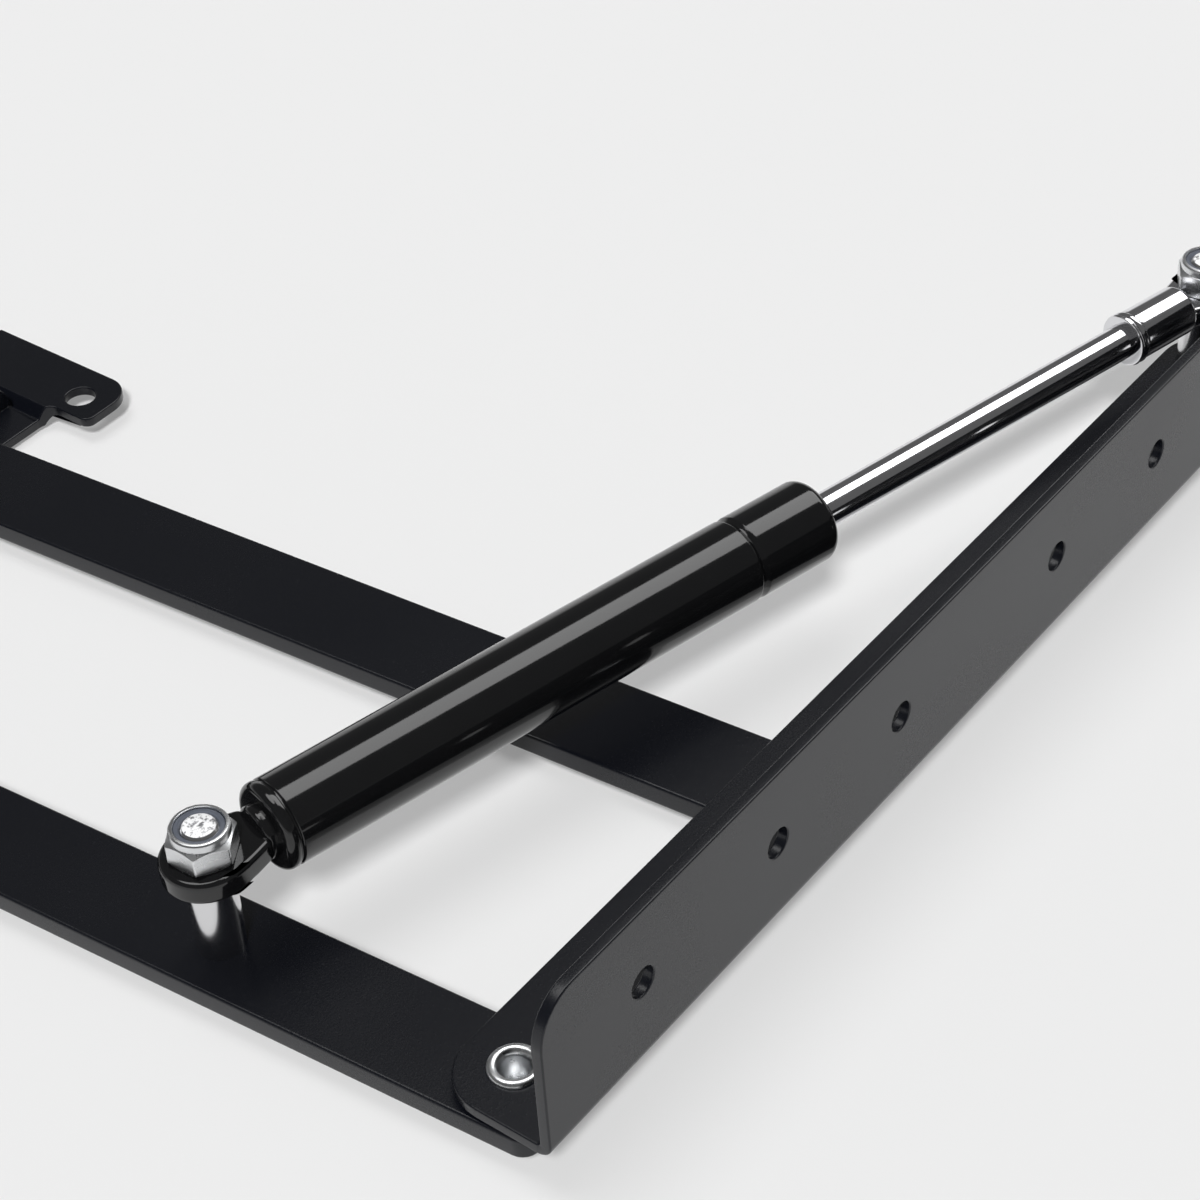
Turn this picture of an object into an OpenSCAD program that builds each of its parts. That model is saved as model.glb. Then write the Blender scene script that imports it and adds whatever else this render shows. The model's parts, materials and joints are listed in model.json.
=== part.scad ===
// Lift-top table mechanism: one side of a gas-assisted parallel linkage, drawn lying flat and fully lifted.
// Millimetres. X runs along the base rail, Y from the base rail towards the top rail, Z along the pivots.
// The origin is on the base rail's screw face, at the centre of its row of screw holes.

/* [Rails] */
// Length of each rail
rail_length = 230; // [215:1:290]
// Thickness of the rails' sheet
sheet = 2; // [1.5:0.1:2.5]
// Width of the pivot flange, over the screw wall
flange_width = 23; // [20:1:32]
// Height of the screw wall, over the flange
wall_height = 30.5; // [25:0.5:40]
// Outer radius of the bend between flange and wall
bend_radius = 2.6; // [2.6:0.1:4]
// Radius at the ends of the flange's free edge
flange_corner = 9; // [3:1:12]
// Radius at the ends of the wall's free edge
wall_corner = 8; // [3:1:12]

/* [Screw holes] */
// Diameter of a screw hole
hole_diameter = 5.2; // [4:0.1:6]
// Height of the row of holes above the flange's underside
hole_height = 16.5; // [14:0.5:20]
// Distance between the holes of one group
hole_pitch = 34; // [24:1:36]
// Distance between the two groups, across the middle
hole_gap = 48; // [30:1:54]

/* [Pivots] */
// Distance from the base rail's end to the front arm's pivot
pivot_inset = 9.5; // [9:0.5:16]
// Distance between the two arms' pivots
pivot_spacing = 72.5; // [60:0.5:90]
// Distance from a rail's screw face to its pivots
pivot_depth = 14; // [10:0.5:16]
// Diameter of a rivet's shank
rivet_diameter = 6; // [5:0.1:7]
// Wall of the hollow rivet
rivet_wall = 0.9; // [0.6:0.1:1.2]
// Diameter of a rivet's factory head
head_diameter = 12; // [10:0.5:15]
// Thickness of a rivet's factory head
head_thickness = 2; // [1.2:0.1:3]
// Height of the rolled rim
rim_height = 0.9; // [0.6:0.1:1.2]
// Thickness of the washer between arm and rail
slip_washer = 0.6; // [0.4:0.1:1.5]
// Diameter of the washer between arm and rail
slip_washer_diameter = 14; // [10:0.5:17]
// Thickness of the washer under the rivet's head
plain_washer = 1.5; // [0.8:0.1:2.5]
// Diameter of the washer under the rivet's head
plain_washer_diameter = 13; // [10:0.5:17]

/* [Arms] */
// Distance between an arm's two pivots
arm_length = 193.2; // [160:0.1:220]
// Width of an arm
arm_width = 19.3; // [15:0.1:24]
// Thickness of an arm
arm_thickness = 4; // [3:0.1:5]
// Length of the square base end beyond its pivot
arm_end = 8.5; // [7:0.5:12]
// Radius of the base end's corners
arm_corner = 3; // [1:0.5:5]
// Angle of the lifted arms to the base rail
lifted_angle = 94.5; // [90.5:0.5:100]

/* [Top rail] */
// Distance from the rear arm's pivot to the rail's eared end
top_overhang = 40; // [37:1:52]
// Width of the top rail's flange, over its screw wall
top_flange_width = 30; // [26:1:36]
// Distance from the top rail's screw face to its pivots
top_pivot_depth = 22.3; // [18:0.1:25]
// Width of the raised ear at that end
ear_width = 13.2; // [12:0.1:15]
// Length of the ear beyond the flange's edge
ear_reach = 11.1; // [9:0.1:16]
// Height of the step up to the ear
ear_step = 2.4; // [1.6:0.1:3]
// Length of the sloping step
step_run = 1.7; // [1:0.1:2.5]
// Diameter of the brace hole in the ear
ear_hole = 6; // [4:0.1:6.5]
// Distance from the rail's end to the brace hole
ear_hole_inset = 7.9; // [6.5:0.1:8.5]
// Distance from the ear's tip to the brace hole
ear_hole_depth = 7.2; // [5.5:0.1:8]
// Radius of the ear's outer corner
ear_corner = 6; // [3:0.5:6]
// Radius of the hollow corner where the ear meets the flange's edge
ear_fillet = 3; // [1:0.5:4]
// Width of the stop tab beside the rear arm
tab_width = 13; // [8:0.5:13]
// Distance from the rear arm's pivot to the stop tab's face, towards the base rail
tab_offset = 1.3; // [0:0.1:4]
// Height of the stop tab above the flange
tab_height = 8; // [5:0.5:12]
// Radius of the stop tab's free corner
tab_corner = 6; // [1:0.5:7]

/* [Spring studs] */
// Distance from the front arm's base pivot to its spring stud
stud_reach = 55; // [46:0.5:62]
// Distance from the rail's far end to the rail stud
rail_stud_inset = 8.6; // [7:0.1:14]
// Distance from the screw face to the rail stud
rail_stud_depth = 16.4; // [12:0.1:17]
// Diameter of a spring stud
stud_diameter = 8; // [7.5:0.1:9]
// Diameter of a stud's threaded tip and riveted tail
tip_diameter = 6; // [5:0.1:6.4]
// Height of the spring's axis above the base rail's flange
spring_rise = 14.6; // [13:0.1:20]
// Thickness of the spring's eyes
eye_thickness = 4.2; // [3.8:0.1:6]
// Thickness of a stud's peened tail
peen_thickness = 1.2; // [0.8:0.1:1.6]

/* [Lock nuts] */
// Width of the nut across its flats
nut_width = 10; // [9.4:0.1:11]
// Height of the nut's hexagon
hexagon_height = 4.2; // [3.5:0.1:6]
// Height of the nut's round collar
collar_height = 1.5; // [1:0.1:2]
// Turn of the hexagons, as they were tightened
nut_turn = 31.5; // [0:0.1:60]

/* [Gas spring] */
// Outer diameter of the tube
tube_diameter = 15; // [14:0.1:17]
// Wall of the tube
tube_wall = 1; // [0.8:0.1:1.3]
// Length of the tube
tube_length = 113.2; // [99:0.1:115]
// Distance from the tube's eye to the tube
tube_start = 10.4; // [9.5:0.1:16]
// Diameter of the rod
rod_diameter = 6.5; // [5:0.1:7]
// Outer radius of the tube's eye
tube_eye_radius = 7.2; // [6.5:0.1:8]
// Outer radius of the rod's eye
rod_eye_radius = 6.3; // [5.5:0.1:7]
// Diameter of the rod's eye fitting
barrel_diameter = 9.5; // [8.8:0.1:10]
// Length of the eye fitting, to the eye's centre
barrel_length = 20; // [16:0.1:24]
// Length of the lock ring in front of the fitting
lock_ring_length = 2.2; // [2:0.1:5]
// Length of the piston
piston_length = 8; // [6:0.5:12]
// Length of the rod guide
guide_length = 9; // [5:0.5:10]
// Length of the rod seal
seal_length = 5; // [3:0.5:6]

/* [Hidden] */
$fn = 64;
// Clearances between moving faces, round running fits, seated pieces and the opened rod pivot
slip = 0.1;
running = 0.08;
seat = 0.02;
open_gap = 0.3;
stop_gap = 0.3;
past = 1;
// Small edges: chamfer of a turned edge, step from a stud to its tail,
// tip beyond the nut, wall round the insert
chamfer = 0.5;
tail_step = 0.25;
tip_stand = 0.1;
insert_wall = 0.8;

// Levels along Z
flange_under = -hole_height;
flange_top = flange_under + sheet;
arm_top = flange_under - slip_washer - slip;
arm_under = arm_top - arm_thickness;
plate_top = arm_under - slip_washer - slip;
plate_under = plate_top - sheet;
spring_level = flange_top + spring_rise;
eye_under = spring_level - eye_thickness / 2;
eye_top = spring_level + eye_thickness / 2;
tip_top = eye_top + slip + hexagon_height + collar_height + tip_stand;

// Places in the XY plane
arm_direction = [cos(lifted_angle), sin(lifted_angle)];
front_pivot = [-rail_length / 2 + pivot_inset, pivot_depth];
rear_pivot = front_pivot + [pivot_spacing, 0];
front_upper = front_pivot + arm_length * arm_direction;
rear_upper = rear_pivot + arm_length * arm_direction;
arm_stud_place = front_pivot + stud_reach * arm_direction;
rail_stud_place = [rail_length / 2 - rail_stud_inset, rail_stud_depth];
top_face = front_upper[1] + top_pivot_depth;
top_right = rear_upper[0] + top_overhang;
top_left = top_right - rail_length;
ear_left = top_right - ear_width;
step_left = ear_left - step_run;
top_wall_centre = (top_left + step_left) / 2;
base_pivots = [front_pivot, rear_pivot];
top_pivots = [front_upper, rear_upper];

// The spring's own line, from the tube's eye to the rod's eye
spring_vector = rail_stud_place - arm_stud_place;
spring_length = norm(spring_vector);
spring_angle = atan2(spring_vector[1], spring_vector[0]);
tube_end = tube_start + tube_length;
tube_radius = tube_diameter / 2;
bore_radius = tube_radius - tube_wall;
end_lip = tube_wall;
guide_start = tube_end - end_lip - guide_length;
seal_washer_length = 1;
seal_start = guide_start - seal_washer_length - seal_length;
bead_depth = 0.6;
bead_half = 1;
bead_place = seal_start - bead_half;
piston_gap = 2;
piston_end = bead_place - bead_half - piston_gap;
piston_start = piston_end - piston_length;
rod_shank_radius = rod_diameter / 3;
ring_groove = 1.6;
ring_groove_depth = 1;
oil_hole = 0.8;
barrel_start = spring_length - barrel_length;
rod_end = spring_length - rod_eye_radius - 2;
plug_length = 5;
plug_neck_radius = 4.6;
neck_gap = 1;
end_roll = 2;
start_roll = 1.4;
end_hole = rod_diameter / 2 + chamfer;
ring_stand = 0.25;
flat_start = spring_length - rod_eye_radius - 1.5;
flat_run = 1.8;

// Values that belong to one fastener
rivet_radius = rivet_diameter / 2;
rivet_bore = rivet_radius - rivet_wall;
rivet_grip = plain_washer + slip + arm_thickness + slip + slip_washer + sheet;
rivet_depth = 0.75 * rivet_grip;
stud_radius = stud_diameter / 2;
tip_radius = tip_diameter / 2;
tail_radius = tip_radius - tail_step;
collar_radius = 0.48 * nut_width;
insert_radius = collar_radius - insert_wall;

black = [0.09, 0.09, 0.1];
chrome = [0.86, 0.86, 0.88];
zinc = [0.72, 0.73, 0.74];

// Points on an arc, for a profile's round corners
function arc(centre, radius, from, to, steps = 6) =
    let (turn = (to - from) / steps)
    [for (i = [0 : steps]) centre + radius * [cos(from + turn * i), sin(from + turn * i)]];

// A ring or disc about Z with its two outer edges bevelled
module bevelled_ring(radius, hole, height, bevel) {
    rotate_extrude()
        polygon([[hole, 0], [radius - bevel, 0], [radius, bevel], [radius, height - bevel],
                 [radius - bevel, height], [hole, height]]);
}

module washer(radius, hole, height) {
    difference() {
        cylinder(r = radius, h = height);
        translate([0, 0, -past]) cylinder(r = hole, h = height + 2 * past);
    }
}

// The L section of a rail: y across the flange, z up the wall
module rail_section(width) {
    inner = max(bend_radius - sheet, 0.2);
    difference() {
        union() {
            square([width, sheet]);
            square([sheet, wall_height]);
            translate([sheet, sheet]) square(inner);
        }
        square(bend_radius);
        translate([sheet + inner, sheet + inner]) circle(r = inner);
    }
    intersection() {
        square(bend_radius);
        difference() {
            translate([bend_radius, bend_radius]) circle(r = bend_radius);
            translate([sheet + inner, sheet + inner]) circle(r = inner);
            translate([sheet + inner, sheet + inner]) square(2 * bend_radius);
        }
    }
}

// Cuts the outer part of a square corner away, to leave a round one
module corner_cut(radius, height) {
    difference() {
        translate([-past, -past, 0]) cube([radius + past, radius + past, height]);
        translate([radius, radius, -past]) cylinder(r = radius, h = height + 2 * past);
    }
}

// A rail that runs along +X from the origin, with its screw face at y = 0 and its underside at z = 0
module rail_sheet(length, width) {
    difference() {
        rotate([90, 0, 90]) linear_extrude(length) rail_section(width);
        for (side = [0, 1])
            translate([side * length, sheet + past, wall_height])
                mirror([side, 0, 0])
                    rotate([90, 0, 0]) mirror([0, 1, 0]) corner_cut(wall_corner, sheet + 2 * past);
        translate([length, width, -past])
            mirror([1, 0, 0]) mirror([0, 1, 0]) corner_cut(flange_corner, sheet + 2 * past);
    }
}

module screw_holes(centre, face) {
    for (side = [-1, 1], i = [0 : 2])
        translate([centre + side * (hole_gap / 2 + i * hole_pitch), face, 0])
            rotate([90, 0, 0]) cylinder(d = hole_diameter, h = 4 * sheet, center = true);
}

module pivot_holes(places, radius, level) {
    for (place = places)
        translate([place[0], place[1], level - past]) cylinder(r = radius, h = sheet + 2 * past);
}

module base_rail() {
    color(black) difference() {
        translate([-rail_length / 2, 0, flange_under]) rail_sheet(rail_length, flange_width);
        translate([-rail_length / 2, flange_width, flange_under - past])
            mirror([0, 1, 0]) corner_cut(flange_corner, sheet + 2 * past);
        screw_holes(0, 0);
        pivot_holes(base_pivots, rivet_radius + seat, flange_under);
        pivot_holes([rail_stud_place], tail_radius + seat, flange_under);
    }
}

// The stepped end of the top rail's flange, with the brace ear: one folded sheet, cut to its outline
module ear_plate() {
    flange_edge = top_face - top_flange_width;
    ear_tip = flange_edge - ear_reach;
    relief = bend_radius + chamfer;
    start = min(ear_left - ear_fillet, step_left) - past;
    width = top_right - start;
    depth = top_face - relief - ear_tip;
    difference() {
        translate([0, ear_tip + depth, plate_under]) rotate([90, 0, 0]) linear_extrude(depth)
            polygon([[start, 0], [step_left, 0], [ear_left, ear_step], [top_right, ear_step],
                     [top_right, ear_step + sheet], [ear_left, ear_step + sheet],
                     [step_left, sheet], [start, sheet]]);
        translate([start, ear_tip, plate_under - past]) linear_extrude(ear_step + sheet + 2 * past) {
            translate([-past, -past]) square([width - ear_width - ear_fillet + past, ear_reach + past]);
            translate([-past, -past]) square([width - ear_width + past, ear_reach - ear_fillet + past]);
            translate([width - ear_width - ear_fillet, ear_reach - ear_fillet]) circle(r = ear_fillet);
            translate([width - ear_hole_inset, ear_hole_depth]) circle(d = ear_hole);
        }
        translate([top_right, ear_tip, plate_under + ear_step - past])
            mirror([1, 0, 0]) corner_cut(ear_corner, sheet + 2 * past);
        translate([ear_left, ear_tip, plate_under + ear_step - past])
            corner_cut(ear_corner / 3, sheet + 2 * past);
    }
}

// The stop tab, cut from the flange and bent up beside the lifted rear arm
tab_face = rear_upper[1] - tab_offset;
tab_left = rear_upper[0] + (arm_width / 2 + stop_gap) / sin(lifted_angle)
    + max(0, (rear_upper[1] - tab_face) / -tan(lifted_angle));
tab_right = min(tab_left + tab_width, step_left - past);

module stop_tab() {
    width = tab_right - tab_left;
    translate([tab_left, tab_face + sheet, plate_top - seat])
        rotate([90, 0, 0]) linear_extrude(sheet) difference() {
            square([width, tab_height + seat]);
            translate([width - tab_corner, tab_height + seat - tab_corner]) difference() {
                square(tab_corner + past);
                circle(r = tab_corner);
            }
        }
}

module top_rail() {
    color(black) difference() {
        union() {
            translate([step_left, top_face, plate_under])
                rotate(180) rail_sheet(step_left - top_left, top_flange_width);
            ear_plate();
            stop_tab();
        }
        translate([0, 0, plate_under + hole_height]) screw_holes(top_wall_centre, top_face);
        pivot_holes(top_pivots, rivet_radius + seat, plate_under);
        translate([tab_left, tab_face + sheet, plate_under - past])
            cube([tab_right - tab_left, tab_height, sheet + 2 * past]);
    }
}

// A flat arm along +X from its base pivot, square at the base and round at the top
module arm_blank() {
    half = arm_width / 2;
    corner = min(arm_corner, half);
    linear_extrude(arm_thickness) {
        translate([corner - arm_end, -half]) square([arm_length + arm_end - corner, arm_width]);
        translate([-arm_end, corner - half]) square([arm_length + arm_end, arm_width - 2 * corner]);
        for (side = [-1, 1]) translate([corner - arm_end, side * (half - corner)]) circle(r = corner);
        translate([arm_length, 0]) circle(r = half);
    }
}

module arm(base_place, holes) {
    translate([base_place[0], base_place[1], arm_under]) rotate(lifted_angle) difference() {
        arm_blank();
        for (hole = holes)
            translate([hole[0], 0, -past]) cylinder(r = hole[1], h = arm_thickness + 2 * past);
    }
}

pivot_bore = rivet_radius + running;

module front_arm() {
    color(black)
        arm(front_pivot, [[0, pivot_bore], [arm_length, pivot_bore], [stud_reach, tail_radius + seat]]);
}

module rear_arm() {
    color(black) arm(rear_pivot, [[0, pivot_bore], [arm_length, pivot_bore]]);
}

// A hollow rivet along +Z: the factory head below z = 0 and the rolled rim above the grip
module hollow_rivet() {
    bevel = head_thickness / 3;
    difference() {
        union() {
            rotate_extrude()
                polygon([[0, -head_thickness], [head_diameter / 2 - bevel, -head_thickness],
                         [head_diameter / 2, bevel - head_thickness], [head_diameter / 2, 0], [0, 0]]);
            cylinder(r = rivet_radius, h = rivet_grip + rim_height / 2);
            translate([0, 0, rivet_grip]) rotate_extrude()
                translate([rivet_radius + rim_height / 2, 0]) intersection() {
                    circle(r = rim_height);
                    translate([-rivet_radius, 0]) square(2 * rivet_radius);
                }
        }
        translate([0, 0, rivet_grip - rivet_depth])
            rotate_extrude()
                polygon([[0, -rivet_bore / 2], [rivet_bore / 4, -rivet_bore / 2], [rivet_bore, 0],
                         [rivet_bore, rivet_depth], [rivet_bore + rim_height / 3, rivet_depth + rim_height],
                         [0, rivet_depth + rim_height]]);
    }
}

module base_pivot_rivets() {
    color(zinc) for (place = base_pivots)
        translate([place[0], place[1], arm_under - slip - plain_washer]) hollow_rivet();
}

module top_pivot_rivets() {
    color(zinc) for (place = top_pivots)
        translate([place[0], place[1], arm_top + slip + plain_washer]) rotate([180, 0, 0]) hollow_rivet();
}

module washers(places, level, diameter, thickness) {
    for (place = places)
        translate([place[0], place[1], level]) washer(diameter / 2, rivet_radius + seat, thickness);
}

module base_slip_washers() {
    color(zinc) washers(base_pivots, flange_under - slip_washer, slip_washer_diameter, slip_washer);
}

module base_plain_washers() {
    color(black) washers(base_pivots, arm_under - slip - plain_washer, plain_washer_diameter, plain_washer);
}

module top_slip_washers() {
    color(zinc) washers(top_pivots, plate_top, slip_washer_diameter, slip_washer);
}

module top_plain_washers() {
    color(black) washers(top_pivots, arm_top + slip, plain_washer_diameter, plain_washer);
}

// A stud's body, from its peened tail under a plate to its shoulder
module stud_body(plate_low, plate_high, shoulder) {
    translate([0, 0, plate_low - peen_thickness])
        bevelled_ring(stud_radius, 0, peen_thickness, peen_thickness / 3);
    translate([0, 0, plate_low]) cylinder(r = tail_radius, h = plate_high - plate_low);
    translate([0, 0, plate_high]) cylinder(r = stud_radius, h = shoulder - plate_high);
}

// A stud's threaded tip, with its bevelled end
module stud_tip(low) {
    bevel = tip_radius / 5;
    translate([0, 0, low]) rotate_extrude()
        polygon([[0, 0], [tip_radius, 0], [tip_radius, tip_top - low - bevel],
                 [tip_radius - bevel, tip_top - low], [0, tip_top - low]]);
}

module arm_stud() {
    color(chrome) translate([arm_stud_place[0], arm_stud_place[1], 0]) {
        stud_body(arm_under, arm_top, eye_under - slip);
        stud_tip(eye_under - slip);
    }
}

module rail_stud() {
    color(chrome) translate([rail_stud_place[0], rail_stud_place[1], 0])
        stud_body(flange_under, flange_top, eye_under - open_gap);
}

module rail_stud_tip() {
    color(chrome) translate([rail_stud_place[0], rail_stud_place[1], 0]) stud_tip(eye_under);
}

// A lock nut on the spring's eye: hexagon with bevelled corners, round collar, seat for the insert
module lock_nut() {
    corner = nut_width / sqrt(3);
    bevel = corner - 0.49 * nut_width;
    hole = tip_radius + seat;
    root = hexagon_height / 4;
    roll = collar_height / 4;
    flat_turn = 30;
    rotate(nut_turn - flat_turn) difference() {
        union() {
            intersection() {
                rotate(flat_turn) cylinder(r = corner, h = hexagon_height, $fn = 6);
                rotate_extrude()
                    polygon([[0, 0], [corner - bevel, 0], [corner, bevel / 2],
                             [corner, hexagon_height - bevel / 2], [corner - bevel, hexagon_height],
                             [0, hexagon_height]]);
            }
            translate([0, 0, hexagon_height]) rotate_extrude()
                polygon([[0, -root], [collar_radius, -root], [collar_radius, collar_height - roll],
                         [collar_radius - roll, collar_height], [0, collar_height]]);
        }
        translate([0, 0, -past]) cylinder(r = hole, h = hexagon_height + collar_height + 2 * past);
        translate([0, 0, hexagon_height]) cylinder(r = insert_radius, h = collar_height + past);
    }
}

module nut_insert() {
    translate([0, 0, hexagon_height])
        washer(insert_radius - seat, tip_radius + seat, 0.8 * collar_height);
}

module on_stud(place) {
    translate([place[0], place[1], eye_top + slip]) children();
}

module arm_stud_nut() {
    color(zinc) on_stud(arm_stud_place) lock_nut();
}

module arm_nut_insert() {
    color("ghostwhite") on_stud(arm_stud_place) nut_insert();
}

module rail_stud_nut() {
    color(zinc) on_stud(rail_stud_place) lock_nut();
}

module rail_nut_insert() {
    color("ghostwhite") on_stud(rail_stud_place) nut_insert();
}

// The spring's line: x runs from the tube's eye to the rod's eye
module on_spring() {
    translate([arm_stud_place[0], arm_stud_place[1], spring_level]) rotate(spring_angle) children();
}

// A solid of revolution about the spring's line, from a profile of [radius, place] points
module turned(profile) {
    rotate([0, 90, 0]) rotate_extrude() polygon(profile);
}

module spring_tube() {
    roll = min(start_roll, tube_radius - plug_neck_radius - running);
    groove_place = tube_start + roll + 2 * chamfer;
    bead = [for (i = [1 : 5]) [bead_depth * sin(30 * i), bead_place + bead_half * (i / 3 - 1)]];
    color(black) on_spring() turned(concat(
        [[plug_neck_radius + running, tube_start]],
        arc([tube_radius - roll, tube_start + roll], roll, -90, 0),
        [[tube_radius, groove_place - chamfer], [tube_radius - chamfer, groove_place],
         [tube_radius, groove_place + chamfer],
         [tube_radius, bead_place - bead_half]],
        [for (point = bead) [tube_radius - point[0], point[1]]],
        [[tube_radius, bead_place + bead_half]],
        arc([tube_radius - end_roll, tube_end - end_roll], end_roll, 0, 90),
        [[end_hole, tube_end], [end_hole, tube_end - end_lip],
         [bore_radius, tube_end - end_lip], [bore_radius, bead_place + bead_half]],
        [for (i = [4 : -1 : 0]) [bore_radius - bead[i][0], bead[i][1]]],
        [[bore_radius, bead_place - bead_half], [bore_radius, tube_start + end_lip],
         [plug_neck_radius + running, tube_start + end_lip]]));
}

module tube_eye() {
    bevel = eye_thickness / 5;
    neck_start = tube_start - neck_gap;
    plug_start = tube_start + end_lip;
    shoulder = 0.87 * tube_eye_radius;
    color(black) on_spring() difference() {
        union() {
            translate([0, 0, -eye_thickness / 2]) bevelled_ring(tube_eye_radius, 0, eye_thickness, bevel);
            translate([0, 0, -eye_thickness / 2]) linear_extrude(eye_thickness)
                polygon([[0, -tube_eye_radius + bevel], [neck_start / 2, -shoulder],
                         [neck_start, -plug_neck_radius], [neck_start, plug_neck_radius],
                         [neck_start / 2, shoulder], [0, tube_eye_radius - bevel]]);
            turned([[0, neck_start - chamfer], [plug_neck_radius - chamfer, neck_start - chamfer],
                    [plug_neck_radius, neck_start], [plug_neck_radius, plug_start],
                    [bore_radius - seat, plug_start], [bore_radius - seat, plug_start + plug_length],
                    [0, plug_start + plug_length]]);
        }
        translate([0, 0, -eye_thickness]) cylinder(r = tip_radius + running, h = 2 * eye_thickness);
    }
}

// A ring that sits on the rod, from one place to another along it
module rod_ring(from, length, radius, hole) {
    turned([[hole, from], [radius, from], [radius, from + length], [hole, from + length]]);
}

module rod_guide() {
    color("goldenrod") on_spring()
        rod_ring(guide_start, guide_length, bore_radius - seat, rod_diameter / 2 + running);
}

module seal_washer() {
    start = guide_start - seal_washer_length;
    color(zinc) on_spring()
        rod_ring(start, seal_washer_length, bore_radius - seat, rod_diameter / 2 + running);
}

module rod_seal() {
    lip = chamfer;
    hole = rod_diameter / 2 + running;
    color([0.15, 0.15, 0.15]) on_spring()
        turned([[hole, seal_start + lip], [hole + 2 * lip, seal_start], [bore_radius - 2 * lip, seal_start],
                [bore_radius - seat, seal_start + lip], [bore_radius - seat, seal_start + seal_length],
                [hole, seal_start + seal_length]]);
}

module piston() {
    radius = bore_radius - running;
    ring_seat = radius - ring_groove_depth;
    middle = (piston_start + piston_end) / 2;
    color(zinc) on_spring() difference() {
        turned([[rod_shank_radius + seat, piston_start], [radius - chamfer, piston_start],
                [radius, piston_start + chamfer],
                [radius, middle - ring_groove / 2], [ring_seat, middle - ring_groove / 2],
                [ring_seat, middle + ring_groove / 2], [radius, middle + ring_groove / 2],
                [radius, piston_end - chamfer], [radius - chamfer, piston_end],
                [rod_shank_radius + seat, piston_end]]);
        translate([piston_start - past, 0, (rod_shank_radius + ring_seat) / 2])
            rotate([0, 90, 0]) cylinder(d = oil_hole, h = piston_length + 2 * past);
    }
}

module piston_ring() {
    radius = bore_radius - running;
    start = (piston_start + piston_end - ring_groove) / 2 + seat;
    color([0.15, 0.15, 0.15]) on_spring()
        rod_ring(start, ring_groove - 2 * seat, radius, radius - ring_groove_depth + seat);
}

module piston_rod() {
    radius = rod_diameter / 2;
    color(chrome) on_spring()
        turned([[0, piston_start - 2 * chamfer], [rod_shank_radius + chamfer, piston_start - 2 * chamfer],
                [rod_shank_radius + 2 * chamfer, piston_start], [rod_shank_radius, piston_start],
                [rod_shank_radius, piston_end], [radius, piston_end], [radius, rod_end], [0, rod_end]]);
}

module rod_lock_ring() {
    radius = barrel_diameter / 2 + ring_stand;
    root = radius - ring_stand;
    hole = rod_diameter / 2 + seat;
    start = barrel_start - lock_ring_length;
    middle = barrel_start - lock_ring_length / 2;
    color(chrome) on_spring()
        turned([[hole, start], [radius - chamfer, start], [radius, start + chamfer],
                [radius, middle - chamfer], [root, middle - chamfer / 2],
                [root, middle + chamfer / 2], [radius, middle + chamfer],
                [radius, barrel_start - chamfer], [root, barrel_start], [hole, barrel_start]]);
}

module rod_eye() {
    radius = barrel_diameter / 2;
    bevel = eye_thickness / 8;
    color(chrome) on_spring() difference() {
        union() {
            translate([spring_length, 0, -eye_thickness / 2])
                bevelled_ring(rod_eye_radius, 0, eye_thickness, bevel);
            turned([[0, barrel_start], [radius - chamfer, barrel_start], [radius, barrel_start + chamfer],
                    [radius, flat_start], [eye_thickness / 2, flat_start + flat_run],
                    [0, flat_start + flat_run]]);
            translate([flat_start, bevel - radius, -eye_thickness / 2])
                cube([spring_length - flat_start, 2 * (radius - bevel), eye_thickness]);
        }
        translate([spring_length, 0, -eye_thickness])
            cylinder(r = tip_radius + running, h = 2 * eye_thickness);
        translate([barrel_start - past, 0, 0]) rotate([0, 90, 0])
            cylinder(r = rod_diameter / 2 + seat, h = rod_end - barrel_start + past);
    }
}

echo(front_pivot = front_pivot, rear_pivot = rear_pivot, front_upper = front_upper, rear_upper = rear_upper);
echo(arm_stud_place = arm_stud_place, rail_stud_place = rail_stud_place);
echo(spring_length = spring_length, spring_angle = spring_angle, spring_level = spring_level);
echo(top_face = top_face, top_right = top_right, top_wall_centre = top_wall_centre);
echo(plate_under = plate_under, tube_end = tube_end);
echo(piston_start = piston_start, barrel_start = barrel_start);

base_rail();
base_pivot_rivets();
base_slip_washers();
base_plain_washers();
rail_stud();
front_arm();
rear_arm();
arm_stud();
arm_stud_nut();
arm_nut_insert();
top_rail();
top_pivot_rivets();
top_slip_washers();
top_plain_washers();
spring_tube();
tube_eye();
rod_guide();
seal_washer();
rod_seal();
piston();
piston_ring();
piston_rod();
rod_lock_ring();
rod_eye();
rail_stud_tip();
rail_stud_nut();
rail_nut_insert();
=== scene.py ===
# %% [markdown]
# # A lift-top table mechanism, dressed in Blender
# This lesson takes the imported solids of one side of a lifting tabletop's linkage and gives them
# the look of the real steel.
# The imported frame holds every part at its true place, in metres, so each new piece is modelled
# at that place and rides on a body.
# Pieces that show are modelled again with rounded edges, because a real edge catches the light
# and a CAD edge doesn't.

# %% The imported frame
import bmesh
import bpy
import json
import math
from mathutils import Matrix, Vector


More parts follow.
